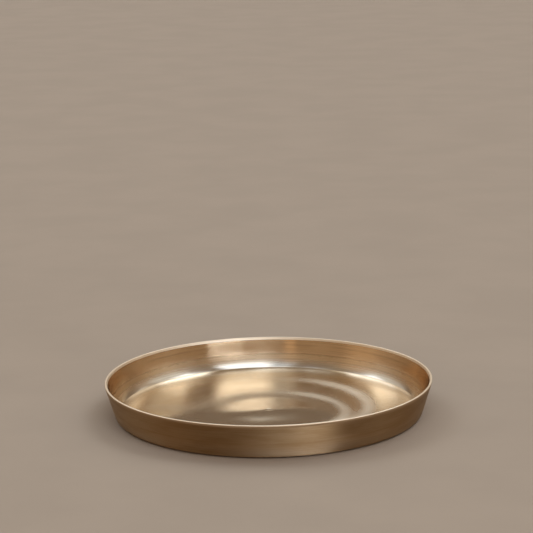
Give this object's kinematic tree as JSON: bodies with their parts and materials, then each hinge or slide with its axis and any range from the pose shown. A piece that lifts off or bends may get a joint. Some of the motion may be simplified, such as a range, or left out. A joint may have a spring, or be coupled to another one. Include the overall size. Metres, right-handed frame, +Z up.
{
  "type": "thali plate",
  "caption": "Round shallow metal thali plate with a flat turned floor, a rounded corner, a low flared wall and a polished lip, for serving a meal.",
  "frame": {"origin": "centre of the flat underside, on the table", "axes": "+Z up along the plate's axis, X and Y level and of no set direction, since the plate is round"},
  "size_m": [0.3, 0.3, 0.0315],
  "materials": {
    "turned_floor": "turned in fine rings and polished to a satin shine",
    "burnished_corner": "burnished round the bend",
    "brushed_wall": "brushed round the wall in fine lines",
    "polished_lip": "polished bright"
  },
  "bodies": {
    "root": {"floor_disc": "turned_floor", "corner_ring": "burnished_corner", "side_wall": "brushed_wall", "rim_lip": "polished_lip"}
  },
  "joints": []
}
